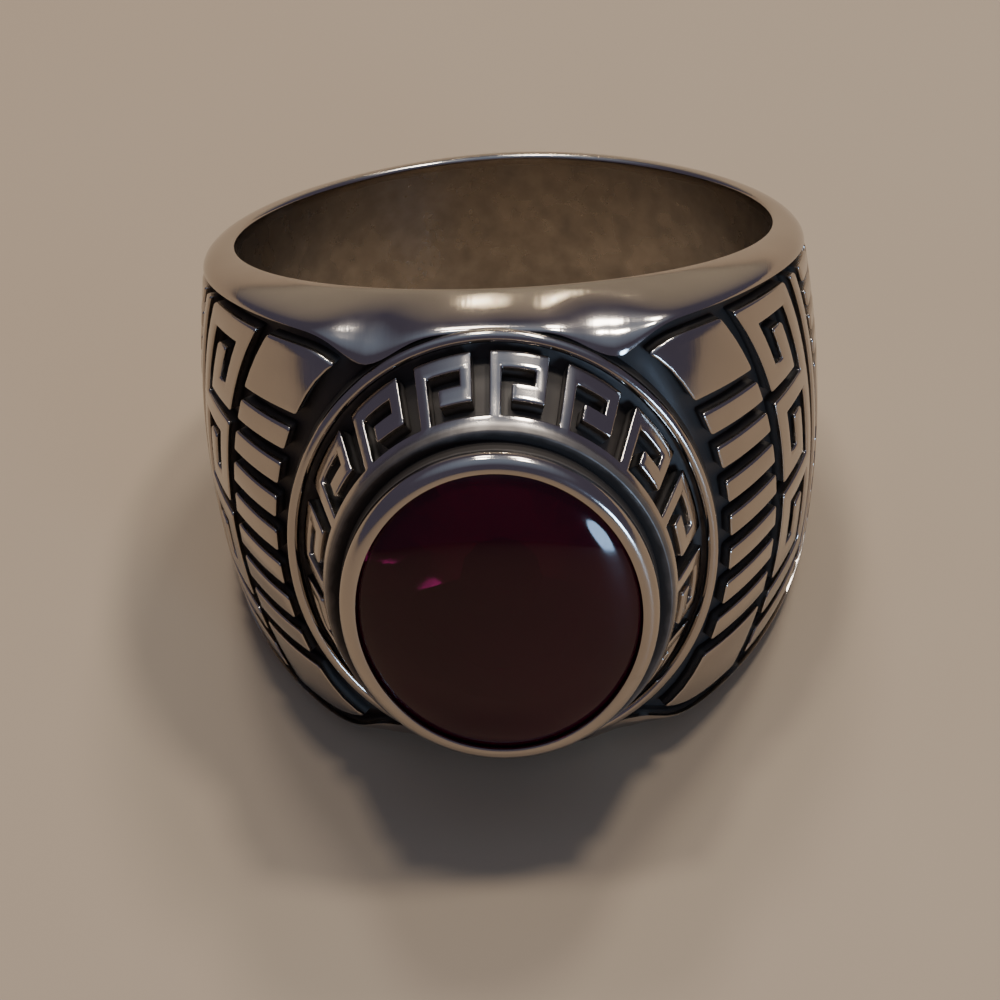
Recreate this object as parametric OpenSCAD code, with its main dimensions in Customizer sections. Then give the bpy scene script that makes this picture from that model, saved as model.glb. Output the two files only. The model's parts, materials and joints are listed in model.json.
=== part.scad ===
// Class ring with an oval stone, lying on its side.
//
// Every shape is worked out in the ring's own frame: the finger goes through along Z, and the
// stone looks along -Y. The last step tips the ring onto the rims that it rests on.

/* [Finger hole] */
// Diameter of the finger hole
hole_d = 19.2; // [18.6:0.1:19.8]

/* [Band] */
// Height of the band at the back, along the finger
shank_h = 7.4; // [6:0.1:9]
// Thickness of the band at the back
shank_t = 1.3; // [1.1:0.05:1.6]
// How much thicker the shoulders get towards the stone
shoulder_w = 4.5; // [3.8:0.1:4.8]
// How much the shoulders are rounded off towards their edges
shoulder_dome = 2.0; // [1.2:0.1:2.2]

/* [Head] */
// Height of the head at the front, along the finger
head_h = 17.4; // [17:0.1:18.2]
// Distance from the middle of the hole to the foot of the crest
crest_foot = 12.1; // [11.8:0.1:12.4]
// Distance from the middle of the hole to the top of the crest's slope
crest_top = 15.6; // [15.4:0.1:15.7]
// Width of the crest's oval across the finger
crest_w = 14.7; // [14.2:0.1:15]
// Height of the crest's oval along the finger
crest_h = 17; // [16.6:0.1:17.2]
// Thickness of the wire that borders the crest
wire_t = 0.42; // [0.35:0.01:0.6]

/* [Stone and bezel] */
// Width of the stone across the finger
stone_w = 9.9; // [9.6:0.1:10.1]
// Height of the stone along the finger
stone_h = 11.3; // [11.2:0.1:11.8]
// Distance from the middle of the hole to the stone's girdle
girdle_y = 15.85; // [15.75:0.05:15.95]
// Rise of the dome above the girdle
dome_rise = 1.3; // [1:0.05:1.6]
// Depth of the pavilion below the girdle
pavilion = 3.1; // [2.6:0.1:3.4]
// Thickness of the bezel's wall
bezel_t = 0.36; // [0.32:0.02:0.44]
// Gap between the stone and its seat
seat_gap = 0.05; // [0.04:0.01:0.08]

/* [Relief] */
// Height of the raised ornament above its ground
relief = 0.55; // [0.4:0.05:0.6]
// Key units in the fret round the stone
keys = 16; // [14:1:17]
// Angle from the front at which each shoulder panel ends
panel_end = 95; // [90:1:100]

/* [Hidden] */
hole_r = hole_d / 2;
land_r = hole_r + 0.12;
sides = 36;

// A running key round the stone: a stem, a hook and the line that joins it to the next unit.
// One text is one row, from the border in to the stone. # is raised.
KEY = ["#####.",
       "#...#.",
       "#.###.",
       "#.....",
       "######"];
// Widths of a key unit's columns, and heights of its rows
KEY_COLS = [0.42, 0.36, 0.42, 0.36, 0.42, 0.6];
KEY_ROWS = [0.52, 0.46, 0.52, 0.46, 0.52];

// A shoulder panel: bars, a running key, a rail, bars and a rail, from the crest to the back.
// One text is one row, from the upper rim to the lower one. # is raised.
PANEL = ["...............",
         ".#.#####.#.#.#.",
         ".#.#...#.#...#.",
         ".#.#.#.#.#.#.#.",
         "...#.#.#.#...#.",
         ".#.###.#.#.#.#.",
         ".......#.#...#.",
         ".#.#####.#.#.#.",
         "...#...#.#...#.",
         ".#.#.#.#.#.#.#.",
         "...#.#.#.#.#.#.",
         ".#.###.#.#.#.#.",
         ".......#.#.#.#.",
         ".#.#####.#.#.#.",
         "...#...#.#...#.",
         ".#.#.#.#.#.#.#.",
         "...#.#.#.#...#.",
         ".#.###.#.#.#.#.",
         ".......#.#...#.",
         ".#.#####.#.#.#.",
         ".#.......#...#.",
         ".#.#####.#.#.#.",
         "..............."];
// Widths of the panel's columns, and heights of its slots and bars
PANEL_COLS = [0.45, 2.1, 0.45, 0.6, 0.45, 0.6, 0.45, 0.6, 0.5, 0.45, 0.5, 1.8, 0.5, 0.45, 0.35];
PANEL_SLOT = 0.5;
PANEL_BAR = 0.82;

// Share of the way from the back, 0, to the front, 1, at an angle from the front
function front(a) = (1 + cos(a)) / 2;

// Half height of the hole's edge
function rim_z(a) = shank_h / 2 + (head_h - shank_h) / 2 * pow(front(a), 1.29);

// The flat foot of the crest cuts the shoulders off
function cut_front(a, r) = cos(a) > 0.3 ? min(r, crest_foot / cos(a)) : r;

// Distance from the hole's axis to the outside, v = 0 at mid height and 1 or -1 at the edges
function out_r(a, v) =
    let (full = hole_r + shank_t + shoulder_w * pow(front(a), 4.8))
    let (drop = 0.2 + shoulder_dome * pow(front(a), 4))
    cut_front(a, full - drop * v * v);

// Half height of the outside, where the polished rim ends; it dips beside the crest
function edge_z(a) =
    let (off = abs(a > 180 ? a - 360 : a))
    rim_z(a) - 0.3 - 0.9 * (1 - front(a)) - 0.9 * exp(-pow((off - 19) / 6, 2));

// A point of the outside: angle, height share and lift above the polished level
function on_band(a, v, lift) =
    let (r = out_r(a, v) + lift)
    [r * sin(a), -r * cos(a), v * edge_z(a)];

// The crest's raised face slopes from inside its border wire up to the groove round the bezel
bezel_w = stone_w / 2 + seat_gap + bezel_t;
bezel_h = stone_h / 2 + seat_gap + bezel_t;
face_w = crest_w / 2 - wire_t - 0.12;
face_h = crest_h / 2 - wire_t - 0.12;
face_y = crest_foot + 0.25;
groove = 0.4;
rise = crest_top - 0.2 - face_y;
run = face_w - bezel_w - groove;
slope = norm([run, rise]);

// A point over the crest: angle from the top, s = 0 at the foot of the raised face to 1 at its
// top, and lift above that face
function on_crest(f, s, lift) =
    let (w = face_w - run * s + lift * rise / slope)
    let (h = face_h + (bezel_h + groove - face_h) * s + lift * rise / slope)
    let (y = face_y + rise * s + lift * run / slope)
    [w * sin(f), -y, h * cos(f)];

// Running sums of a list, from 0 to 1
function shares(sizes) =
    let (sums = [for (i = 0, s = 0; i <= len(sizes); s = s + (i < len(sizes) ? sizes[i] : 0), i = i + 1) s])
    [for (s = sums) s / sums[len(sizes)]];

// Two triangles of a four-sided face
function quad(a, b, c, d) = [[a, b, c], [a, c, d]];

// A closed skin over rows of points, each row a ring of the same number of points. The rows
// close on themselves like a tube bent round, or else the end rows are capped.
module skin(rows, bent) {
    n = len(rows[0]);
    m = len(rows);
    walls = [for (j = [0:m - (bent ? 1 : 2)], i = [0:n - 1])
        each quad(j * n + i, j * n + (i + 1) % n,
                  (j + 1) % m * n + (i + 1) % n, (j + 1) % m * n + i)];
    caps = bent ? [] : [[for (i = [n - 1:-1:0]) i], [for (i = [0:n - 1]) (m - 1) * n + i]];
    polyhedron([for (row = rows) each row], concat(walls, caps), convexity = 12);
}

// Raised cells of a chart. low and high hold a grid of points each, one row per chart line;
// a round chart closes on itself from left to right.
module raised(chart, low, high, round_it) {
    rows = len(chart);
    cols = len(chart[0]);
    w = len(low[0]);
    top = w * (rows + 1);
    function on(j, i) =
        let (k = round_it ? (i + cols) % cols : i)
        j >= 0 && j < rows && k >= 0 && k < cols && chart[j][k] == "#";
    cells = [for (j = [0:rows - 1], i = [0:cols - 1]) if (on(j, i)) [j, i]];
    faces = [for (c = cells)
        let (a = c[0] * w + c[1], b = c[0] * w + (c[1] + 1) % w, d = a + w, e = b + w)
        each concat(
            quad(top + a, top + b, top + e, top + d),
            quad(a, d, e, b),
            on(c[0] - 1, c[1]) ? [] : quad(a, b, top + b, top + a),
            on(c[0] + 1, c[1]) ? [] : quad(e, d, top + d, top + e),
            on(c[0], c[1] - 1) ? [] : quad(d, a, top + a, top + d),
            on(c[0], c[1] + 1) ? [] : quad(b, e, top + e, top + b))];
    polyhedron([for (grid = [low, high], row = grid) each row], faces, convexity = 12);
}

// Half a section of the band, from inside the hole over the flat land round its edge and the
// polished rim to mid height
function half_section(a) =
    let (off = abs(a > 180 ? a - 360 : a))
    let (sink = off < panel_end + 0.1 ? relief : 0)
    let (w = out_r(a, 1) - land_r, h = rim_z(a) - edge_z(a))
    concat(
        [[hole_r - 1, rim_z(a)]],
        [for (t = [0:22.5:90]) [land_r + w * sin(t), edge_z(a) + h * cos(t)]],
        [for (v = [0.98, 0.62, 0.2]) [out_r(a, v) - sink, v * edge_z(a)]]);

// Band and shoulders, with the panels sunk to their ground
module band() {
    turns = concat([for (k = [-15:15]) panel_end * k / 15],
                   [for (k = [0:14]) panel_end + 1.2 + k * (360 - 2 * panel_end - 2.4) / 14]);
    halves = [for (a = turns) half_section(a)];
    n = len(halves[0]);
    sections = [for (half = halves)
        concat(half, [for (k = [n - 1:-1:0]) [half[k][0], -half[k][1]]])];
    skin([for (j = [0:2 * n - 1]) [for (k = [0:len(turns) - 1])
        let (p = sections[k][j])
        [p[0] * sin(turns[k]), -p[0] * cos(turns[k]), p[1]]]], true);
}

// Raised ornament of the right shoulder; it runs back from the crest's border
module shoulder_relief() {
    us = shares(PANEL_COLS);
    vs = shares([for (j = [0:len(PANEL) - 1]) j % 2 == 0 ? PANEL_SLOT : PANEL_BAR]);
    function start(v) =
        atan((crest_w / 2 + 0.1) * sqrt(1 - pow(v * 7.6 / (crest_h / 2 + 0.5), 2)) / crest_foot);
    function grid(lift) = [for (q = vs) let (v = 1 - 2 * q)
        [for (u = us) on_band(start(v) + (panel_end - start(v)) * u, v, lift)]];
    raised(PANEL, grid(-relief - 0.25), grid(0), false);
}

// One ring of points on an oval
function oval(w, h, y) = [for (k = [0:sides - 1])
    let (f = k * 360 / sides)
    [w * sin(f), -y, h * cos(f)]];

// The bezel's collar and its lip over the stone: distance outside the seat's oval, distance to
// the front
seat_w = stone_w / 2 + seat_gap;
seat_h = stone_h / 2 + seat_gap;
COLLAR = [[bezel_t, girdle_y + 0.1], [bezel_t * 0.85, girdle_y + 0.34],
          [bezel_t * 0.4, girdle_y + 0.5], [-0.1, girdle_y + 0.56],
          [-0.22, girdle_y + 0.52], [-0.22, girdle_y + 0.42],
          [0, girdle_y + 0.1], [0, girdle_y - 0.25]];
// The wire round the crest: distance inside the crest's oval, distance to the front
WIRE = [[0.7, hole_r - 0.6], [0, crest_foot - 0.4], [0, crest_foot + 0.1],
        [wire_t * 0.3, crest_foot + 0.3], [wire_t * 0.75, crest_foot + 0.28],
        [wire_t, crest_foot]];
// The seat under the stone: share of the seat's oval, distance to the front
SEAT = [[0.62, girdle_y - 0.3 - pavilion * 0.5], [0.25, girdle_y - pavilion - 0.15]];
// The stone's dome and its faceted underside: share of its oval, distance to the front
DOME = [for (t = [0:18:72]) [cos(t), girdle_y + 0.02 + dome_rise * sin(t)]];
UNDER = [[0.25, girdle_y - pavilion], [0.62, girdle_y - 0.2 - pavilion * 0.5],
         [1, girdle_y - 0.2]];

// Crest and bezel: border wire, slope, groove, collar and the stone's seat
module crest() {
    skin(concat([for (p = WIRE) oval(crest_w / 2 - p[0], crest_h / 2 - p[0], p[1])],
                [for (s = [0, 1]) [for (k = [0:sides - 1]) on_crest(k * 360 / sides, s, -relief)]],
                [for (p = COLLAR) oval(seat_w + p[0], seat_h + p[0], p[1])],
                [for (p = SEAT) oval(seat_w * p[0], seat_h * p[0], p[1])]), false);
}

// The running key, on the crest's slope
module crest_relief() {
    us = shares(KEY_COLS);
    ws = shares(KEY_ROWS);
    chart = [for (row = KEY) [for (k = [1:keys], cell = row) cell]];
    function grid(lift) = [for (w = ws)
        [for (k = [0:keys - 1], i = [0:len(KEY_COLS) - 1])
            on_crest((k + us[i]) * 360 / keys, 0.02 + 0.96 * w, lift)]];
    raised(chart, grid(-relief - 0.25), grid(0), true);
}

// The casting is one piece: band, shoulders, crest, bezel and all relief
module casting() {
    resize([0, 0, head_h]) union() {
        band();
        crest();
        crest_relief();
        shoulder_relief();
        mirror([1, 0, 0]) shoulder_relief();
    }
}

module ring_body() {
    color("silver") lying() difference() {
        casting();
        cylinder(r = hole_r, h = head_h + 10, center = true, $fn = 96);
    }
}

// Domed top with a small table, faceted pavilion underneath
module stone() {
    color("darkred") lying()
        skin([for (p = concat(UNDER, DOME)) oval(stone_w / 2 * p[0], stone_h / 2 * p[0], p[1])],
             false);
}

// The ring rests on the head's lower rim at the hole's edge and on the second corner of the
// band's rounded rim; the line through both, level on the ground, gives how far it is tipped
back_rest = half_section(180)[2];
tip = atan((rim_z(0) - back_rest[1]) / (hole_r + back_rest[0]));

// Reach of points after tipping, each a distance from the middle and a half height
function reach(points) = max([for (p = points) p[0] * cos(tip) + p[1] * sin(tip)]);
front_reach = reach(concat([for (p = COLLAR) [p[1], seat_h + p[0]]],
                           [for (p = DOME) [p[1], stone_h / 2 * p[0]]]));
back_reach = reach(half_section(180));

// Lays the ring on its side, with the origin on the ground under the middle of it
module lying() {
    translate([0, (front_reach - back_reach) / 2, rim_z(0) * cos(tip) - hole_r * sin(tip)])
        rotate([-tip, 0, 0])
        children();
}

ring_body();
stone();
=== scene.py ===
"""Looks of a class ring: an antiqued silver casting with raised ornament and a dark red stone.

The pieces are shaped in millimetres in the ring's own frame, where the finger goes through along Z
and the stone looks along -Y. The last step of each piece lays it on its side, in metres, where the
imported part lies.
"""

import json
import math

import bpy
import numpy as np
from bpy.props import FloatProperty, FloatVectorProperty, IntProperty, PointerProperty
from mathutils import Matrix, Vector


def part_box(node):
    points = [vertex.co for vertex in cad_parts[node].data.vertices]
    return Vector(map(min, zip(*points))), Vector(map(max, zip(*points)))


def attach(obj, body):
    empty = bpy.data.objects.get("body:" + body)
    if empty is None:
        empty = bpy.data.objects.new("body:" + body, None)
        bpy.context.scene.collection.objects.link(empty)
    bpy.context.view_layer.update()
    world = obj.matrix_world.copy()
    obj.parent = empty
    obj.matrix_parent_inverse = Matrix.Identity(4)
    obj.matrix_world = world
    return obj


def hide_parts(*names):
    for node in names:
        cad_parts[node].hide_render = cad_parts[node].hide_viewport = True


bl_info = {
    "name": "Class ring",
    "version": (1, 0, 0),
    "blender": (4, 5, 0),
    "location": "3D view > Sidebar > Ring",
    "description": "Models an antiqued silver class ring with an oval stone",
    "category": "Add Mesh",
}

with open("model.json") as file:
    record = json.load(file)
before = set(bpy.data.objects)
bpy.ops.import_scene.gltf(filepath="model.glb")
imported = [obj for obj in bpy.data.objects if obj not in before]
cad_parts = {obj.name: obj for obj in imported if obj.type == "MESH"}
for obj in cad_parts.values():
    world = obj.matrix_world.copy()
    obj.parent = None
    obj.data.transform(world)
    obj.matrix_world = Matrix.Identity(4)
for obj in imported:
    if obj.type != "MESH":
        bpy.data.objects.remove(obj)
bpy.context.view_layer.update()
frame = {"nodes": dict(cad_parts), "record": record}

MOUNT = frame["record"]["mounts"][0]
STONE_LOW, STONE_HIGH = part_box("stone")
AXIS = Vector(MOUNT["axis"])
TIP = math.atan2(AXIS.y, AXIS.z)
LAY = Matrix.Translation(MOUNT["pos_m"]) @ Matrix.Rotation(-TIP, 4, "X") @ Matrix.Scale(0.001, 4)

# A unit of the running key round the stone, from the border in to the stone. # is raised.
KEY = ["#####.", "#...#.", "#.###.", "#.....", "######"]
KEY_COLS = [0.42, 0.36, 0.42, 0.36, 0.42, 0.6]
KEY_ROWS = [0.52, 0.46, 0.52, 0.46, 0.52]
# Where the key starts and ends up the crest's slope
KEY_SPAN = (0.02, 0.98)

# A shoulder panel: bars, a running key, a rail, bars and a rail, from the crest to the back
PANEL = [
    "...............",
    ".#.#####.#.#.#.",
    ".#.#...#.#...#.",
    ".#.#.#.#.#.#.#.",
    "...#.#.#.#...#.",
    ".#.###.#.#.#.#.",
    ".......#.#...#.",
    ".#.#####.#.#.#.",
    "...#...#.#...#.",
    ".#.#.#.#.#.#.#.",
    "...#.#.#.#.#.#.",
    ".#.###.#.#.#.#.",
    ".......#.#.#.#.",
    ".#.#####.#.#.#.",
    "...#...#.#...#.",
    ".#.#.#.#.#.#.#.",
    "...#.#.#.#...#.",
    ".#.###.#.#.#.#.",
    ".......#.#...#.",
    ".#.#####.#.#.#.",
    ".#.......#...#.",
    ".#.#####.#.#.#.",
    "...............",
]
PANEL_COLS = [0.45, 2.1, 0.45, 0.6, 0.45, 0.6, 0.45, 0.6, 0.5, 0.45, 0.5, 1.8, 0.5, 0.45, 0.35]
# Heights of the panel's slots and bars
PANEL_SLOT = 0.5
PANEL_BAR = 0.82
# Size of the flat panel and of one flat key unit before they are bent onto the ring
PANEL_FLAT = (14.0, 14.0)
KEY_FLAT = (2.8, 2.6)
# Radii of the cells' outside corners in plan, and the width of their rounded top edges
PANEL_CORNER = 0.11
KEY_CORNER = 0.07
TOP_ROUND = 0.085
# Ledge between the wire round the crest and the foot of its slope
LEDGE = 0.12
# How far raised ornament reaches into the metal below its ground
ROOT = 0.25
# Distance between the cuts along which a flat plate bends lengthwise
BEND_STEP = 0.35
# Angle over which the end of a panel drops to its ground
END_WALL = math.radians(0.45)
# How much the rail beside the bezel is dulled, and where it starts, as a share of the slope
RAIL_DULL = 0.5
RAIL_START = 0.84
# Height of the stone's straight edge below its girdle
STONE_EDGE = 0.2
# Rows of facets under it: how many, and how many facet widths the first is turned
UPPER_FACETS = (24, 0.25)
LOWER_FACETS = (12, 0.5)
# Where the stone's underside and the seat below it bend, and where they end, as shares of the oval
WAIST = 0.62
FOOT = 0.25
# Widest angle between faces that are shaded as one smooth surface
SMOOTH_ANGLE = math.radians(38)
# Points closer than this, in millimetres, become one
WELD = 0.0005

WARM = (1.0, 0.93, 0.83)
GOLDEN = (1.0, 0.83, 0.56)
BLUE = (0.42, 0.66, 1.0)
# Lamps: name, degrees round from +X, degrees up, distance and size in metres, watts, colour
LAMPS = [
    ("lamp_right", 36, 67.4, 0.6, 0.07, 0.95, WARM),
    ("lamp_left", 119, 75, 0.6, 0.07, 0.68, WARM),
    ("lamp_far_right", 64, 54, 0.6, 0.1, 0.80, WARM),
    ("lamp_far_left", 102, 56, 0.6, 0.1, 0.57, WARM),
    ("bulb_left", 94, 21, 0.9, 0.02, 0.10, GOLDEN),
    ("bulb_right", 86, 22, 0.9, 0.02, 0.08, GOLDEN),
    ("window", -52, 6, 0.6, 0.16, 1.6, BLUE),
]
# The surroundings: the dark side, the bright wall behind the ring, and overhead
DARK_SIDE = (0.34, 0.31, 0.46)
BRIGHT_WALL = (1.5, 1.25, 0.95)
OVERHEAD = (0.95, 1.15, 1.55)
SURROUND_STRENGTH = 0.28


class RingSizes(bpy.types.PropertyGroup):
    """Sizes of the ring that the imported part's box and mount don't give."""

    shank_h: FloatProperty(name="Band height", description="Height of the band at the back",
                           default=0.0074, unit="LENGTH")
    shank_t: FloatProperty(name="Band thickness", description="Thickness of the band at the back",
                           default=0.0013, unit="LENGTH")
    shoulder_w: FloatProperty(name="Shoulder growth", default=0.0045, unit="LENGTH",
                              description="How much thicker the shoulders get towards the stone")
    shoulder_dome: FloatProperty(name="Shoulder dome", default=0.002, unit="LENGTH",
                                 description="How much the shoulders round off to their edges")
    crest_foot: FloatProperty(name="Crest foot", default=0.0121, unit="LENGTH",
                              description="From the middle of the hole to the crest's foot")
    crest_top: FloatProperty(name="Crest top", default=0.0156, unit="LENGTH",
                             description="From the middle of the hole to the top of its slope")
    crest_w: FloatProperty(name="Crest width", description="Width of the crest's oval",
                           default=0.0147, unit="LENGTH")
    crest_h: FloatProperty(name="Crest height", description="Height of the crest's oval",
                           default=0.017, unit="LENGTH")
    wire_t: FloatProperty(name="Wire", description="Thickness of the wire round the crest",
                          default=0.00042, unit="LENGTH")
    girdle_y: FloatProperty(name="Girdle", default=0.01585, unit="LENGTH",
                            description="From the middle of the hole to the stone's girdle")
    dome_rise: FloatProperty(name="Dome", description="Rise of the stone above its girdle",
                             default=0.00124, unit="LENGTH")
    pavilion: FloatProperty(name="Pavilion", description="Depth of the stone below its girdle",
                            default=0.0031, unit="LENGTH")
    bezel_t: FloatProperty(name="Bezel", description="Thickness of the bezel's wall",
                           default=0.00036, unit="LENGTH")
    seat_gap: FloatProperty(name="Seat gap", description="Gap between the stone and its seat",
                            default=0.00005, unit="LENGTH")
    relief: FloatProperty(name="Relief", description="Height of the raised ornament",
                          default=0.00055, unit="LENGTH")
    keys: IntProperty(name="Keys", description="Key units round the stone", default=16)
    panel_end: FloatProperty(name="Panel end", default=math.radians(95), subtype="ANGLE",
                             description="Angle from the front at which a panel ends")


class RingFinish(bpy.types.PropertyGroup):
    """Colours of the metal, the stone and the floor."""

    silver: FloatVectorProperty(name="Silver", description="Polished metal", subtype="COLOR",
                                default=(0.51, 0.465, 0.425))
    oxide: FloatVectorProperty(name="Oxide", description="Darkened recesses", subtype="COLOR",
                               default=(0.05, 0.042, 0.037))
    garnet: FloatVectorProperty(name="Stone", description="Body colour of the stone",
                                subtype="COLOR", default=(0.09, 0.0008, 0.014))
    floor: FloatVectorProperty(name="Floor", description="Pale table top", subtype="COLOR",
                               default=(0.488, 0.372, 0.256))


class RingStage(bpy.types.PropertyGroup):
    """Where the camera stands."""

    azimuth: FloatProperty(name="Azimuth", description="Round from the front",
                           default=math.radians(4.377), subtype="ANGLE")
    elevation: FloatProperty(name="Elevation", description="Above the floor",
                             default=math.radians(46.33), subtype="ANGLE")
    roll: FloatProperty(name="Roll", description="Tilt of the picture",
                        default=math.radians(-5.036), subtype="ANGLE")
    distance: FloatProperty(name="Distance", description="From the camera to what it looks at",
                            default=0.16, unit="LENGTH")
    target: FloatVectorProperty(name="Target", description="What the camera looks at",
                                default=(-0.000743, 0.001712, 0.000488), subtype="TRANSLATION")
    lens: FloatProperty(name="Lens", description="Focal length in millimetres", default=154.76)


def mm(length):
    """A length in metres as millimetres."""
    return length * 1000


class RingShape:
    """The ring's curves in millimetres. Angles go round from the front, in radians."""

    def __init__(self, sizes):
        self.hole_r = MOUNT["dims"]["r_mm"]
        self.head_h = MOUNT["dims"]["length_mm"]
        self.stone_w = mm(STONE_HIGH.x - STONE_LOW.x)
        for name in ("shank_h", "shank_t", "shoulder_w", "shoulder_dome", "crest_foot",
                     "crest_top", "crest_w", "crest_h", "wire_t", "girdle_y", "dome_rise",
                     "pavilion", "bezel_t", "seat_gap", "relief"):
            setattr(self, name, mm(getattr(sizes, name)))
        self.keys = sizes.keys
        self.panel_end = sizes.panel_end
        self.stone_h = self.stone_height()
        self.bezel_w = self.stone_w / 2 + self.seat_gap + self.bezel_t
        self.bezel_h = self.stone_h / 2 + self.seat_gap + self.bezel_t
        self.face_w = self.crest_w / 2 - self.wire_t - LEDGE
        self.face_h = self.crest_h / 2 - self.wire_t - LEDGE
        self.face_y = self.crest_foot + 0.25
        self.groove = 0.4
        self.rise = self.crest_top - 0.2 - self.face_y
        self.run = self.face_w - self.bezel_w - self.groove
        self.slope = math.hypot(self.run, self.rise)

    def stone_height(self):
        """The stone's longer side, read back from the highest and lowest point of its node."""
        node = frame["nodes"]["stone"]
        back = LAY.inverted()
        z = [(back @ v.co).z for v in node.data.vertices]
        return max(z) - min(z)

    def front(self, a):
        """Share of the way from the back, 0, to the front, 1."""
        return (1 + np.cos(a)) / 2

    def rim_z(self, a):
        """Half height of the hole's edge."""
        return self.shank_h / 2 + (self.head_h - self.shank_h) / 2 * self.front(a) ** 1.29

    def out_r(self, a, v):
        """Distance from the hole's axis to the outside, v = 0 at mid height, 1 at the edges."""
        full = self.hole_r + self.shank_t + self.shoulder_w * self.front(a) ** 4.8
        r = full - (0.2 + self.shoulder_dome * self.front(a) ** 4) * v * v
        flat = self.crest_foot / np.maximum(np.cos(a), 0.3)
        return np.where(np.cos(a) > 0.3, np.minimum(r, flat), r)

    def edge_z(self, a):
        """Half height of the outside, where the polished rim ends; it dips beside the crest."""
        off = np.degrees(np.abs((a + math.pi) % (2 * math.pi) - math.pi))
        dip = 0.9 * np.exp(-(((off - 19) / 6) ** 2))
        return self.rim_z(a) - 0.3 - 0.9 * (1 - self.front(a)) - dip

    def on_band(self, a, v, lift):
        """A point of the outside, raised by lift."""
        r = self.out_r(a, v) + lift
        return np.stack([r * np.sin(a), -r * np.cos(a), v * self.edge_z(a)], -1)

    def panel_start(self, v):
        """Angle at which a shoulder panel starts, beside the crest."""
        z = v * 7.6 / (self.crest_h / 2 + 0.5)
        return np.arctan((self.crest_w / 2 + 0.1) * np.sqrt(1 - z * z) / self.crest_foot)

    def on_crest(self, f, s, lift):
        """A point over the crest's slope, f round from the top, s up the slope."""
        out = lift * self.rise / self.slope
        w = self.face_w - self.run * s + out
        h = self.face_h + (self.bezel_h + self.groove - self.face_h) * s + out
        y = self.face_y + self.rise * s + lift * self.run / self.slope
        return np.stack([w * np.sin(f), -y + 0 * f, h * np.cos(f)], -1)


def shape_of(context):
    """The ring's curves for the sizes set in the scene."""
    return RingShape(context.scene.ring_sizes)


def shares(sizes):
    """Running sums of a list, from 0 to 1."""
    return np.concatenate([[0], np.cumsum(sizes)]) / sum(sizes)


def smooth_step(x):
    """Eases from 0 to 1 as x goes from 0 to 1, and holds outside."""
    x = np.clip(x, 0, 1)
    return x * x * (3 - 2 * x)


def start_fresh():
    """Leaves no object selected, in object mode."""
    if bpy.context.object and bpy.context.object.mode != "OBJECT":
        bpy.ops.object.mode_set(mode="OBJECT")
    bpy.ops.object.select_all(action="DESELECT")


def named(name):
    """The primitive just added, under its name."""
    piece = bpy.context.object
    piece.name = name
    piece.data.name = name
    return piece


def coordinates(piece):
    """The places of a piece's vertices, one row each."""
    co = np.empty(len(piece.data.vertices) * 3)
    piece.data.vertices.foreach_get("co", co)
    return co.reshape(-1, 3)


def move_points(piece, co):
    """Gives every vertex a new place."""
    piece.data.vertices.foreach_set("co", np.asarray(co, float).ravel())
    piece.data.update()


def write_worn(piece, values):
    """Stores how far each vertex stands out of the recesses, 0 to 1, for the metal's wear."""
    layer = piece.data.attributes.new("worn", "FLOAT", "POINT")
    layer.data.foreach_set("value", np.asarray(values, np.float32))


def pick_faces(piece, test):
    """Selects the faces whose centre passes the test, and nothing else, in edit mode."""
    bpy.ops.object.mode_set(mode="EDIT")
    bpy.ops.mesh.select_mode(type="FACE")
    bpy.ops.mesh.select_all(action="DESELECT")
    bpy.ops.object.mode_set(mode="OBJECT")
    for face in piece.data.polygons:
        face.select = test(face.center)
    bpy.ops.object.mode_set(mode="EDIT")


def outward():
    """Joins the active object's doubled points and turns all its faces outwards."""
    bpy.ops.object.mode_set(mode="EDIT")
    bpy.ops.mesh.select_all(action="SELECT")
    bpy.ops.mesh.remove_doubles(threshold=WELD)
    bpy.ops.mesh.normals_make_consistent(inside=False)
    bpy.ops.object.mode_set(mode="OBJECT")


def apply_modifier(piece, kind, **values):
    """Adds a modifier with the given settings and applies it."""
    modifier = piece.modifiers.new(kind.title(), kind)
    for name, value in values.items():
        setattr(modifier, name, value)
    bpy.ops.object.modifier_apply(modifier=modifier.name)


def lay_down(piece):
    """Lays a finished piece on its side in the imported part's frame, and smooths it."""
    move_points(piece, coordinates(piece) @ np.array(LAY.to_3x3()).T + np.array(LAY.translation))
    bpy.ops.object.shade_smooth_by_angle(angle=SMOOTH_ANGLE)


def bent_tube(name, turns, section):
    """A closed ring from a torus: section(turns) gives its points round each turn."""
    points, worn = section(turns)
    start_fresh()
    bpy.ops.mesh.primitive_torus_add(major_segments=len(turns), minor_segments=points.shape[1],
                                     major_radius=12, minor_radius=2)
    piece = named(name)
    move_points(piece, points.reshape(-1, 3))
    write_worn(piece, worn.ravel())
    outward()
    return piece


def chart_plate(name, chart, xs, ys):
    """A flat plate whose raised cells stand on the chart's lines, with open cells cut away."""
    cols, rows = len(chart[0]), len(chart)
    start_fresh()
    bpy.ops.mesh.primitive_grid_add(x_subdivisions=cols, y_subdivisions=rows, size=2)
    plate = named(name)
    index = np.arange((cols + 1) * (rows + 1))
    across, down = index % (cols + 1), index // (cols + 1)
    co = np.zeros((len(index), 3))
    co[:, 0] = np.asarray(xs)[across]
    co[:, 1] = np.asarray(ys)[down]
    move_points(plate, co)

    def is_open(centre):
        i = np.searchsorted(xs, centre.x) - 1
        j = np.searchsorted(ys, centre.y) - 1
        return chart[rows - 1 - j][i] != "#"

    pick_faces(plate, is_open)
    bpy.ops.mesh.delete(type="FACE")
    bpy.ops.mesh.select_all(action="SELECT")
    bpy.ops.mesh.dissolve_limited(angle_limit=math.radians(1))
    bpy.ops.object.mode_set(mode="OBJECT")
    return plate


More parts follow.
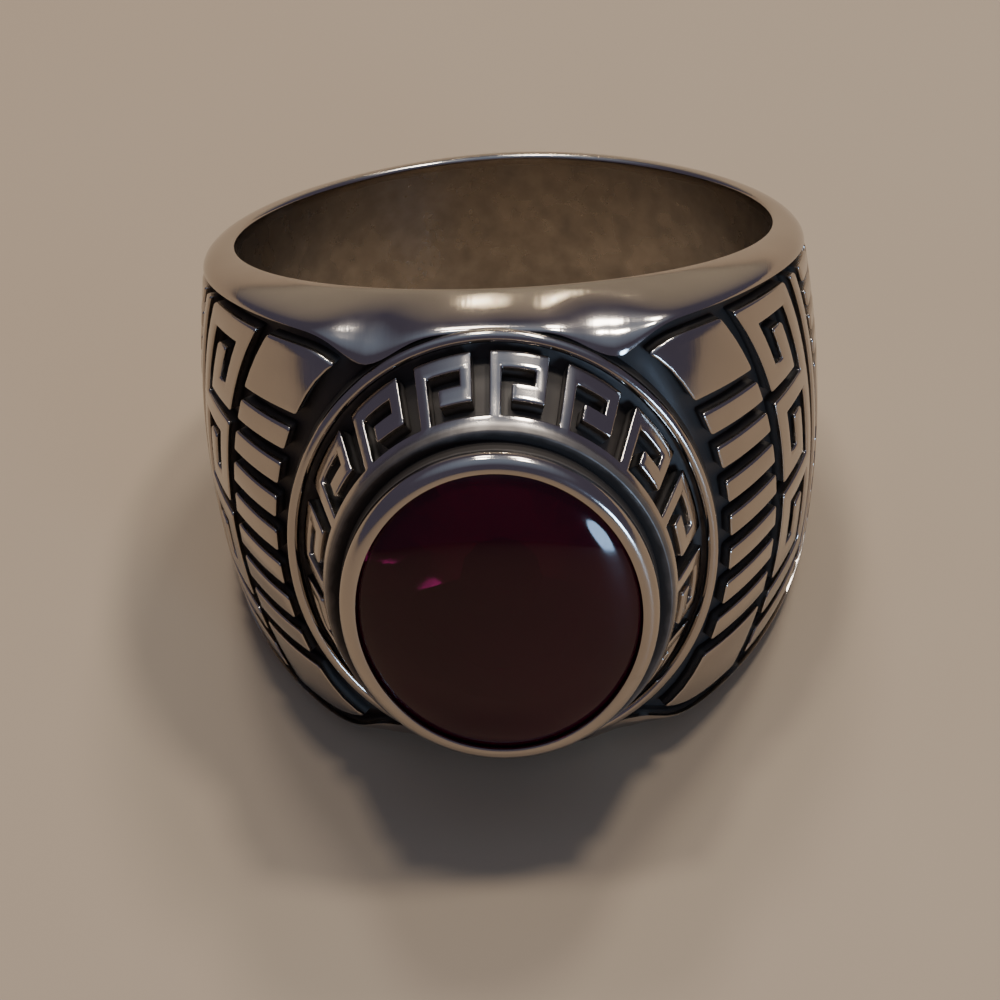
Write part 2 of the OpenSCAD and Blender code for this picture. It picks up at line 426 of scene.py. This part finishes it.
def round_corners(plate, radius):
    """Rounds the outside corners of a flat plate's cells in plan."""
    mesh = plate.data
    used = np.zeros(len(mesh.vertices), int)
    corner = np.zeros(len(mesh.vertices), bool)
    for face in mesh.polygons:
        ring = [mesh.vertices[i].co for i in face.vertices]
        for k, i in enumerate(face.vertices):
            used[i] += 1
            before = ring[k] - ring[k - 1]
            after = ring[(k + 1) % len(ring)] - ring[k]
            corner[i] = before.cross(after).dot(face.normal) > 1e-4
    bpy.ops.object.mode_set(mode="EDIT")
    bpy.ops.mesh.select_mode(type="VERT")
    bpy.ops.mesh.select_all(action="DESELECT")
    bpy.ops.object.mode_set(mode="OBJECT")
    for vertex in mesh.vertices:
        vertex.select = bool(corner[vertex.index] and used[vertex.index] == 1)
    bpy.ops.object.mode_set(mode="EDIT")
    bpy.ops.mesh.bevel(affect="VERTICES", offset=radius, segments=3, clamp_overlap=True)
    bpy.ops.object.mode_set(mode="OBJECT")


def cut_lines(places, axis):
    """Cuts the piece in edit mode across an axis at each place, so that it can bend there."""
    normal = [0, 0, 0]
    normal[axis] = 1
    for place in places:
        point = [0, 0, 0]
        point[axis] = place
        bpy.ops.mesh.select_all(action="SELECT")
        bpy.ops.mesh.bisect(plane_co=point, plane_no=normal)


def raise_plate(plate, relief, x_cuts, y_cuts):
    """Gives a flat plate its height, soft top edges and enough cuts to bend."""
    apply_modifier(plate, "SOLIDIFY", thickness=relief + ROOT, offset=-1)
    apply_modifier(plate, "BEVEL", width=TOP_ROUND, segments=3, limit_method="ANGLE",
                   angle_limit=math.radians(60))
    bpy.ops.object.mode_set(mode="EDIT")
    cut_lines(x_cuts, 0)
    cut_lines(y_cuts, 1)
    bpy.ops.object.mode_set(mode="OBJECT")
    z = coordinates(plate)[:, 2]
    write_worn(plate, smooth_step((z + relief * 0.45) / (relief * 0.4)))


class RING_OT_band(bpy.types.Operator):
    """Band with its polished rims, and the sunk ground of both shoulder panels"""

    bl_idname = "class_ring.add_band"
    bl_label = "Add band"

    def execute(self, context):
        ring = shape_of(context)
        end = ring.panel_end
        ahead = np.linspace(-end, end, 171)
        behind = np.linspace(end + END_WALL, 2 * math.pi - end - END_WALL, 79)
        drop = end + END_WALL * np.array([0.33, 0.67])
        turns = np.concatenate([ahead, drop, behind, -drop[::-1]])
        piece = bent_tube("band", turns, lambda a: self.section(ring, a))
        lay_down(piece)
        return {"FINISHED"}

    def section(self, ring, turns):
        """Points and wear of the band's section at each turn, round from inside mid height."""
        a = turns
        off = np.abs((a + math.pi) % (2 * math.pi) - math.pi)
        inside_panel = smooth_step((ring.panel_end + END_WALL - off) / END_WALL)
        sink = ring.relief * inside_panel
        rim = ring.rim_z(a) - 0.03 * (1 - ring.front(a))
        edge, out = ring.edge_z(a), ring.out_r(a, 1.0)
        soft, round_edge = 0.14, 0.07
        rows = []
        for share in (0, 0.25, 0.5, 0.75, 0.92):
            rows.append((ring.hole_r + 0 * a, (rim - soft) * share, 0.72 + 0 * a))
        for t in np.radians([0, 22.5, 45, 67.5, 90]):
            rows.append((ring.hole_r + soft * (1 - np.cos(t)) + 0 * a,
                         rim - soft * (1 - np.sin(t)), 1 + 0 * a))
        start = ring.hole_r + soft
        for t in np.radians(np.linspace(0, 90, 14)[1:]):
            rows.append((start + (out - start) * np.sin(t),
                         edge + (rim - edge) * np.cos(t), 1 + 0 * a))
        for drop, down in ((0.12, 0.35), (0.4, 0.8), (0.85, 1), (1, 1.5)):
            rows.append((out - sink * drop, edge - round_edge * down, 1 - drop * inside_panel))
        low = edge - round_edge * 1.5
        for share in np.linspace(1, 0, 12)[1:]:
            v = low * share / edge
            rows.append((ring.out_r(a, v) - sink, low * share, 1 - inside_panel))
        half = rows
        full = half + [(r, -z, w) for r, z, w in reversed(half[:-1])][:-1]
        r = np.stack([row[0] for row in full], 1)
        z = np.stack([row[1] for row in full], 1)
        worn = np.stack([row[2] for row in full], 1)
        a = a[:, None]
        return np.stack([r * np.sin(a), -r * np.cos(a), z], -1), worn


class RING_OT_panels(bpy.types.Operator):
    """Raised ornament of both shoulders: bars, a running key and rails"""

    bl_idname = "class_ring.add_panels"
    bl_label = "Add shoulder panels"

    def execute(self, context):
        ring = shape_of(context)
        wide, high = PANEL_FLAT
        xs = shares(PANEL_COLS) * wide
        heights = [PANEL_SLOT if j % 2 == 0 else PANEL_BAR for j in range(len(PANEL))]
        ys = (shares(heights) * 2 - 1) * high / 2
        right = chart_plate("panel_right", PANEL, xs, ys)
        round_corners(right, PANEL_CORNER)
        raise_plate(right, ring.relief, np.arange(BEND_STEP, wide, BEND_STEP),
                    np.arange(0.25 - high / 2, high / 2, 0.5))
        bpy.ops.object.duplicate(linked=False)
        left = named("panel_left")
        for piece, side in ((right, 1), (left, -1)):
            self.wrap(ring, piece, side)
        return {"FINISHED"}

    def wrap(self, ring, piece, side):
        """Bends a flat panel onto a shoulder."""
        start_fresh()
        bpy.context.view_layer.objects.active = piece
        piece.select_set(True)
        co = coordinates(piece)
        v = 2 * co[:, 1] / PANEL_FLAT[1]
        start = ring.panel_start(v)
        a = start + (ring.panel_end - start) * co[:, 0] / PANEL_FLAT[0]
        points = ring.on_band(a, v, co[:, 2])
        points[:, 0] *= side
        move_points(piece, points)
        outward()
        lay_down(piece)


class RING_OT_crest(bpy.types.Operator):
    """Crest round the stone: border wire, sunk slope, groove, bezel and the stone's seat"""

    bl_idname = "class_ring.add_crest"
    bl_label = "Add crest and bezel"

    def execute(self, context):
        ring = shape_of(context)
        turns = np.linspace(0, 2 * math.pi, 240, endpoint=False)
        piece = bent_tube("crest", turns, lambda f: self.section(ring, f))
        lay_down(piece)
        return {"FINISHED"}

    def section(self, ring, turns):
        """Ovals of the crest from its foot over the wire, slope and bezel into the seat."""
        f = turns
        rows = []

        def oval(w, h, y, worn):
            """Adds an oval: half its width and height, its distance to the front and its wear."""
            rows.append((w * np.sin(f), -y + 0 * f, h * np.cos(f), worn + 0 * f))

        half_w, half_h, foot, t = ring.crest_w / 2, ring.crest_h / 2, ring.crest_foot, ring.wire_t
        oval(half_w - 0.7, half_h - 0.7, ring.hole_r + 0.25, 0)
        oval(half_w, half_h, foot - 0.5, 0)
        oval(half_w, half_h, foot - 0.15, 0.25)
        oval(half_w, half_h, foot + 0.06, 0.8)
        for turn in np.radians(np.linspace(0, 180, 9)):
            inset = t / 2 * (1 - math.cos(turn))
            oval(half_w - inset, half_h - inset, foot + 0.1 + 0.2 * math.sin(turn), 1)
        oval(half_w - t, half_h - t, foot - 0.1, 0.5)
        for s in (0, 0.25, 0.5, 0.75, 1):
            p = [ring.on_crest(np.array([q]), s, -ring.relief)[0] for q in (math.pi / 2, 0)]
            oval(p[0][0], p[1][2], -p[0][1], 0)
        seat_w = ring.stone_w / 2 + ring.seat_gap
        seat_h = ring.stone_h / 2 + ring.seat_gap
        b, g = ring.bezel_t, ring.girdle_y
        # Up the collar, over the lip and down its inside: distance outside the seat's oval,
        # height above the girdle and wear
        for out, up, worn in ((b, -0.75, 0), (b, -0.45, 0), (b, -0.2, 0.2), (b, 0.0, 0.8),
                              (b, 0.12, 1), (b * 0.97, 0.22, 1), (b * 0.88, 0.32, 1),
                              (b * 0.72, 0.41, 1), (b * 0.5, 0.48, 1), (b * 0.24, 0.53, 1),
                              (-0.04, 0.55, 1), (-0.14, 0.55, 1), (-0.2, 0.53, 1),
                              (-0.22, 0.48, 1), (-0.22, 0.42, 0.9), (-0.1, 0.26, 0.5),
                              (0, 0.1, 0.6), (0, -0.25, 0.2)):
            oval(seat_w + out, seat_h + out, g + up, worn)
        oval(seat_w * WAIST, seat_h * WAIST, g - 0.3 - ring.pavilion / 2, 0.9)
        oval(seat_w * FOOT, seat_h * FOOT, g - 0.15 - ring.pavilion, 0.1)
        oval(seat_w * 0.2, seat_h * 0.2, ring.hole_r + 0.25, 0)
        points = np.stack([np.stack([row[k] for row in rows], 1) for k in range(3)], -1)
        return points, np.stack([row[3] for row in rows], 1)


class RING_OT_key(bpy.types.Operator):
    """Running key on the crest's slope, bent round from a straight strip"""

    bl_idname = "class_ring.add_key"
    bl_label = "Add running key"

    def execute(self, context):
        ring = shape_of(context)
        wide, high = KEY_FLAT
        units = ring.keys + 2
        xs = np.concatenate([(shares(KEY_COLS)[:-1] + k) * wide for k in range(units)])
        xs = np.append(xs, units * wide)
        ys = (1 - shares(KEY_ROWS)[::-1]) * high
        piece = chart_plate("key_border", [row * units for row in KEY], xs, ys)
        round_corners(piece, KEY_CORNER)
        raise_plate(piece, ring.relief, np.arange(BEND_STEP, units * wide, BEND_STEP),
                    np.arange(0.17, high, 0.17))
        bpy.ops.object.mode_set(mode="EDIT")
        bpy.ops.mesh.select_all(action="SELECT")
        bpy.ops.mesh.bisect(plane_co=(wide, 0, 0), plane_no=(1, 0, 0), clear_inner=True)
        bpy.ops.mesh.select_all(action="SELECT")
        bpy.ops.mesh.bisect(plane_co=((units - 1) * wide, 0, 0), plane_no=(1, 0, 0),
                            clear_outer=True)
        bpy.ops.object.mode_set(mode="OBJECT")
        co = coordinates(piece)
        f = 2 * math.pi * (co[:, 0] / wide - 1) / ring.keys
        low, top = KEY_SPAN
        s = low + (top - low) * (1 - co[:, 1] / high)
        move_points(piece, ring.on_crest(f, s, co[:, 2]))
        self.dull_rail(piece, s)
        outward()
        lay_down(piece)
        return {"FINISHED"}

    def dull_rail(self, piece, s):
        """Makes the rail beside the bezel darker and less polished than the rest of the key, so
        that it reads as part of the dark groove round the bezel.
        """
        layer = piece.data.attributes["worn"]
        worn = np.empty(len(s), np.float32)
        layer.data.foreach_get("value", worn)
        rail = smooth_step((s - RAIL_START) / 0.05)
        layer.data.foreach_set("value", worn * (1 - RAIL_DULL * rail))


class RING_OT_join(bpy.types.Operator):
    """Joins the cast pieces, which are one casting on the real ring, and gives it its finish"""

    bl_idname = "class_ring.join_casting"
    bl_label = "Join the casting"

    def execute(self, context):
        start_fresh()
        for name in ("panel_right", "panel_left", "crest", "key_border", "band"):
            bpy.data.objects[name].select_set(True)
        context.view_layer.objects.active = bpy.data.objects["band"]
        bpy.ops.object.join()
        casting = named("casting")
        casting.data.materials.clear()
        casting.data.materials.append(antiqued_silver(context.scene.ring_finish))
        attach(casting, "root")
        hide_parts("ring_body")
        return {"FINISHED"}


class RING_OT_stone(bpy.types.Operator):
    """Oval stone: a smooth dome with a faceted pavilion cut under its girdle"""

    bl_idname = "class_ring.add_stone"
    bl_label = "Add stone"

    def execute(self, context):
        ring = shape_of(context)
        start_fresh()
        bpy.ops.mesh.primitive_circle_add(vertices=144, radius=1, fill_type="NGON")
        stone = named("garnet")
        bpy.ops.object.mode_set(mode="EDIT")
        bpy.ops.mesh.select_all(action="SELECT")
        self.grow_dome(ring.dome_rise)
        bpy.ops.object.mode_set(mode="OBJECT")
        self.cut_pavilion(stone, ring.pavilion)
        co = coordinates(stone)
        if co[:, 2].min() > -ring.pavilion + 0.01:
            raise RuntimeError("the stone has lost its underside")
        move_points(stone, np.stack([co[:, 0] * ring.stone_w / 2, -ring.girdle_y - co[:, 2],
                                     co[:, 1] * ring.stone_h / 2], -1))
        outward()
        lay_down(stone)
        self.shade(stone, ring)
        stone.data.materials.clear()
        stone.data.materials.append(dark_garnet(context.scene.ring_finish))
        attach(stone, "root")
        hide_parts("stone")
        return {"FINISHED"}

    def shade(self, stone, ring):
        """Keeps the facets under the girdle flat and the dome smooth."""
        back = LAY.inverted()
        bpy.ops.object.shade_flat()
        pick_faces(stone, lambda centre: (back @ centre).y < -ring.girdle_y - 0.001)
        bpy.ops.mesh.faces_shade_smooth()
        bpy.ops.object.mode_set(mode="OBJECT")

    def grow_dome(self, rise):
        """Extrudes the girdle's face up into a dome that ends in a small flat table."""
        size, level = 1.0, 0.0
        for turn in np.radians([0, 1, 2, 3, 4, 6, 8, 10, *range(12, 85, 3)]):
            share, height = math.cos(turn), 0.02 + rise * math.sin(turn)
            bpy.ops.mesh.extrude_region_move(
                TRANSFORM_OT_translate={"value": (0, 0, height - level)})
            bpy.ops.transform.resize(value=(share / size, share / size, 1))
            size, level = share, height

    def cut_pavilion(self, stone, depth):
        """Grows a straight block under the girdle and cuts it to two rows of facets."""
        pick_faces(stone, lambda centre: centre.z < 0.001)
        bpy.ops.mesh.extrude_region_move(TRANSFORM_OT_translate={"value": (0, 0, -depth)})
        middle = -STONE_EDGE - depth / 2
        self.cut_facets(UPPER_FACETS, (1.0, -STONE_EDGE), (WAIST, middle))
        self.cut_facets(LOWER_FACETS, (WAIST + 0.04, middle + 0.16), (FOOT, -depth))
        bpy.ops.object.mode_set(mode="OBJECT")

    def cut_facets(self, row, top, bottom):
        """Cuts a row of facets through two points, each a distance from the middle and a height."""
        count, turned = row
        lean = math.atan2(top[0] - bottom[0], top[1] - bottom[1])
        for k in range(count):
            f = 2 * math.pi * (k + turned) / count
            normal = (math.cos(lean) * math.cos(f), math.cos(lean) * math.sin(f), -math.sin(lean))
            bpy.ops.mesh.select_all(action="SELECT")
            bpy.ops.mesh.bisect(plane_co=(top[0] * math.cos(f), top[0] * math.sin(f), top[1]),
                                plane_no=normal, clear_outer=True, use_fill=True)


def group_of(name, inputs, outputs):
    """An empty node group with number sockets, and its first nodes."""
    tree = bpy.data.node_groups.new(name, "ShaderNodeTree")
    for socket, default in inputs:
        item = tree.interface.new_socket(name=socket, in_out="INPUT", socket_type="NodeSocketFloat")
        item.default_value = default
    for socket in outputs:
        tree.interface.new_socket(name=socket, in_out="OUTPUT", socket_type="NodeSocketFloat")
    return tree, tree.nodes.new("NodeGroupInput"), tree.nodes.new("NodeGroupOutput")


def feed(tree, socket, source):
    """Links a socket to another one, or gives it a value."""
    if isinstance(source, bpy.types.NodeSocket):
        tree.links.new(source, socket)
    else:
        socket.default_value = source


def add_node(tree, kind, links=(), **values):
    """A node with its properties set; links holds (input, socket or value)."""
    node = tree.nodes.new(kind)
    for name, value in values.items():
        setattr(node, name, value)
    for socket, source in links:
        feed(tree, node.inputs[socket], source)
    return node


def patchy(tree, scale, detail=3.0):
    """Noise between 0 and 1 that sits still on the object."""
    place = add_node(tree, "ShaderNodeTexCoord").outputs["Object"]
    return add_node(tree, "ShaderNodeTexNoise", [("Vector", place), ("Scale", scale),
                                                 ("Detail", detail)]).outputs["Fac"]


def spread(tree, value, low, high, to_low=0.0, to_high=1.0):
    """Maps a value from one range onto another, held at its ends."""
    return add_node(tree, "ShaderNodeMapRange", [("Value", value), ("From Min", low),
                                                 ("From Max", high), ("To Min", to_low),
                                                 ("To Max", to_high)]).outputs["Result"]


def combine(tree, operation, a, b):
    """A sum, difference or product of two numbers."""
    return add_node(tree, "ShaderNodeMath", [(0, a), (1, b)], operation=operation).outputs[0]


def blend_colours(tree, share, a, b):
    """A colour between a and b, where share goes from 0 to 1."""
    node = add_node(tree, "ShaderNodeMix", [(0, share)], data_type="RGBA")
    for index, colour in ((6, a), (7, b)):
        linked = isinstance(colour, bpy.types.NodeSocket)
        feed(tree, node.inputs[index], colour if linked else (*colour, 1))
    return node.outputs[2]


def polish_group():
    """Where the metal is polished, from how far it stands out, with a ragged border."""
    tree, given, out = group_of("Polish wear", [("Raised", 1.0), ("Raggedness", 0.3)], ["Polish"])
    ragged = combine(tree, "SUBTRACT", patchy(tree, 1400.0), 0.5)
    ragged = combine(tree, "MULTIPLY", ragged, given.outputs["Raggedness"])
    raised = combine(tree, "ADD", given.outputs["Raised"], ragged)
    tree.links.new(spread(tree, raised, 0.35, 0.95), out.inputs["Polish"])
    return tree


def scratch_group():
    """Fine scratches and dents of worn metal, as a height and as a change in roughness."""
    tree, given, out = group_of("Fine scratches", [("Depth", 1.0)], ["Height", "Haze"])
    place = add_node(tree, "ShaderNodeTexCoord").outputs["Object"]
    height = None
    for turn, long in (((0.3, 0.2, 0.9), 9000.0), ((1.1, 0.7, 2.2), 7000.0)):
        stretched = add_node(tree, "ShaderNodeMapping", [("Vector", place), ("Rotation", turn),
                                                         ("Scale", (long, 350.0, 900.0))])
        lines = add_node(tree, "ShaderNodeTexNoise", [("Vector", stretched.outputs[0]),
                                                      ("Scale", 1.0), ("Detail", 2.0)])
        line = spread(tree, lines.outputs["Fac"], 0.3, 0.7)
        height = line if height is None else combine(tree, "ADD", height, line)
    dents = patchy(tree, 500.0, 2.0)
    height = combine(tree, "ADD", combine(tree, "MULTIPLY", height, 0.25), dents)
    tree.links.new(combine(tree, "MULTIPLY", height, given.outputs["Depth"]), out.inputs["Height"])
    tree.links.new(spread(tree, patchy(tree, 700.0, 5.0), 0.3, 0.75), out.inputs["Haze"])
    return tree


def new_material(name):
    """A new material, its node tree and its shader."""
    material = bpy.data.materials.new(name)
    material.use_nodes = True
    tree = material.node_tree
    return material, tree, tree.nodes["Principled BSDF"]


def antiqued_silver(finish):
    """Polished silver on all that stands out, dark oxide in the recesses."""
    material, tree, shader = new_material("antiqued_silver")
    raised = add_node(tree, "ShaderNodeAttribute", attribute_name="worn").outputs["Fac"]
    wear = add_node(tree, "ShaderNodeGroup", node_tree=polish_group())
    tree.links.new(raised, wear.inputs["Raised"])
    marks = add_node(tree, "ShaderNodeGroup", node_tree=scratch_group())
    marks.inputs["Depth"].default_value = 1.0
    polish = wear.outputs["Polish"]
    warm = blend_colours(tree, spread(tree, patchy(tree, 260.0), 0.35, 0.65),
                         [c * 0.9 for c in finish.silver], finish.silver)
    colour = blend_colours(tree, polish, finish.oxide, warm)
    rough = combine(tree, "ADD", spread(tree, polish, 0.0, 1.0, 0.5, 0.09),
                    combine(tree, "MULTIPLY", marks.outputs["Haze"], 0.09))
    tree.links.new(colour, shader.inputs["Base Color"])
    tree.links.new(spread(tree, polish, 0.0, 0.6, 0.35, 1.0), shader.inputs["Metallic"])
    tree.links.new(rough, shader.inputs["Roughness"])
    bump = add_node(tree, "ShaderNodeBump", [("Height", marks.outputs["Height"]),
                                             ("Strength", 0.12), ("Distance", 0.00002)])
    tree.links.new(bump.outputs["Normal"], shader.inputs["Normal"])
    return material


def dark_garnet(finish):
    """Deep red stone, mostly clear with a little body colour, and faintly uneven from wear."""
    material, tree, shader = new_material("dark_red_stone")
    cloud = spread(tree, patchy(tree, 180.0, 2.0), 0.35, 0.65)
    colour = blend_colours(tree, cloud, [c * 0.75 for c in finish.garnet], finish.garnet)
    tree.links.new(colour, shader.inputs["Base Color"])
    tree.links.new(spread(tree, patchy(tree, 900.0, 4.0), 0.3, 0.8, 0.05, 0.11),
                   shader.inputs["Roughness"])
    shader.inputs["Metallic"].default_value = 0.0
    shader.inputs["Transmission Weight"].default_value = 0.65
    shader.inputs["IOR"].default_value = 1.43
    return material


def table_top(finish):
    """Pale smooth table top."""
    material, tree, shader = new_material("table_top")
    cloud = spread(tree, patchy(tree, 9.0, 3.0), 0.3, 0.7)
    colour = blend_colours(tree, cloud, [c * 0.97 for c in finish.floor], finish.floor)
    tree.links.new(colour, shader.inputs["Base Color"])
    tree.links.new(spread(tree, patchy(tree, 60.0, 2.0), 0.3, 0.7, 0.55, 0.65),
                   shader.inputs["Roughness"])
    return material


class RING_OT_stage(bpy.types.Operator):
    """Pale floor, soft studio light and the camera"""

    bl_idname = "class_ring.add_stage"
    bl_label = "Add stage"

    def execute(self, context):
        start_fresh()
        bpy.ops.mesh.primitive_plane_add(size=3)
        floor = named("table")
        floor.data.materials.append(table_top(context.scene.ring_finish))
        self.light_world(context.scene)
        for lamp in LAMPS:
            self.hang_lamp(*lamp)
        self.place_camera(context.scene)
        return {"FINISHED"}

    def light_world(self, scene):
        """Soft surroundings: bluish overhead, a warm wall behind the ring, dark in front."""
        scene.world = bpy.data.worlds.new("studio")
        scene.world.use_nodes = True
        tree = scene.world.node_tree
        place = add_node(tree, "ShaderNodeTexCoord").outputs["Generated"]
        way = add_node(tree, "ShaderNodeSeparateXYZ", [("Vector", place)])
        behind = spread(tree, way.outputs["Y"], 0.8, 0.98)
        above = spread(tree, way.outputs["Z"], 0.62, 0.97)
        wall = blend_colours(tree, behind, DARK_SIDE, BRIGHT_WALL)
        colour = blend_colours(tree, above, wall, OVERHEAD)
        sky = tree.nodes["Background"]
        tree.links.new(colour, sky.inputs["Color"])
        sky.inputs["Strength"].default_value = SURROUND_STRENGTH

    def hang_lamp(self, name, round_to, height, distance, size, power, colour):
        """A round lamp that shines at the ring, round_to degrees from +X and that high up."""
        start_fresh()
        turn, rise = math.radians(round_to), math.radians(height)
        place = Vector((math.cos(turn) * math.cos(rise), math.sin(turn) * math.cos(rise),
                        math.sin(rise))) * distance
        bpy.ops.object.light_add(type="AREA", location=place)
        lamp = bpy.context.object
        lamp.name = name
        lamp.rotation_euler = (-place).to_track_quat("-Z", "Y").to_euler()
        lamp.data.shape = "DISK"
        lamp.data.size = size
        lamp.data.energy = power
        lamp.data.color = colour

    def place_camera(self, scene):
        """Puts the camera round and above its target, as the scene's camera sizes say."""
        stage = scene.ring_stage
        turn = Matrix.Rotation(stage.azimuth, 3, "Z")
        right = turn @ Vector((1, 0, 0))
        ahead = turn @ Vector((0, math.cos(stage.elevation), -math.sin(stage.elevation)))
        up = right.cross(ahead)
        across = right * math.cos(stage.roll) + up * math.sin(stage.roll)
        upright = up * math.cos(stage.roll) - right * math.sin(stage.roll)
        matrix = Matrix((across, upright, -ahead)).transposed().to_4x4()
        matrix.translation = Vector(stage.target) - ahead * stage.distance
        start_fresh()
        bpy.ops.object.camera_add()
        camera = bpy.context.object
        camera.matrix_world = matrix
        camera.data.sensor_width = 36
        camera.data.lens = stage.lens
        camera.data.clip_start = 0.01
        scene.camera = camera


class RING_PT_panel(bpy.types.Panel):
    """Sizes, finish and camera, and the steps that build the ring"""

    bl_idname = "RING_PT_panel"
    bl_label = "Class ring"
    bl_space_type = "VIEW_3D"
    bl_region_type = "UI"
    bl_category = "Ring"

    def draw(self, context):
        for step in STEPS:
            self.layout.operator(step.bl_idname)
        for title, group in (("Sizes", context.scene.ring_sizes),
                             ("Finish", context.scene.ring_finish),
                             ("Camera", context.scene.ring_stage)):
            box = self.layout.box()
            box.label(text=title)
            for name in group.__annotations__:
                box.prop(group, name)


STEPS = (RING_OT_band, RING_OT_panels, RING_OT_crest, RING_OT_key, RING_OT_join, RING_OT_stone,
         RING_OT_stage)
CLASSES = (RingSizes, RingFinish, RingStage, *STEPS, RING_PT_panel)


def register():
    for item in CLASSES:
        bpy.utils.register_class(item)
    bpy.types.Scene.ring_sizes = PointerProperty(type=RingSizes)
    bpy.types.Scene.ring_finish = PointerProperty(type=RingFinish)
    bpy.types.Scene.ring_stage = PointerProperty(type=RingStage)


def unregister():
    del bpy.types.Scene.ring_sizes
    del bpy.types.Scene.ring_finish
    del bpy.types.Scene.ring_stage
    for item in reversed(CLASSES):
        bpy.utils.unregister_class(item)


def main():
    """Builds the ring and its stage."""
    register()
    bpy.ops.class_ring.add_band()
    bpy.ops.class_ring.add_panels()
    bpy.ops.class_ring.add_crest()
    bpy.ops.class_ring.add_key()
    bpy.ops.class_ring.join_casting()
    bpy.ops.class_ring.add_stone()
    bpy.ops.class_ring.add_stage()


if __name__ == "__main__":
    main()
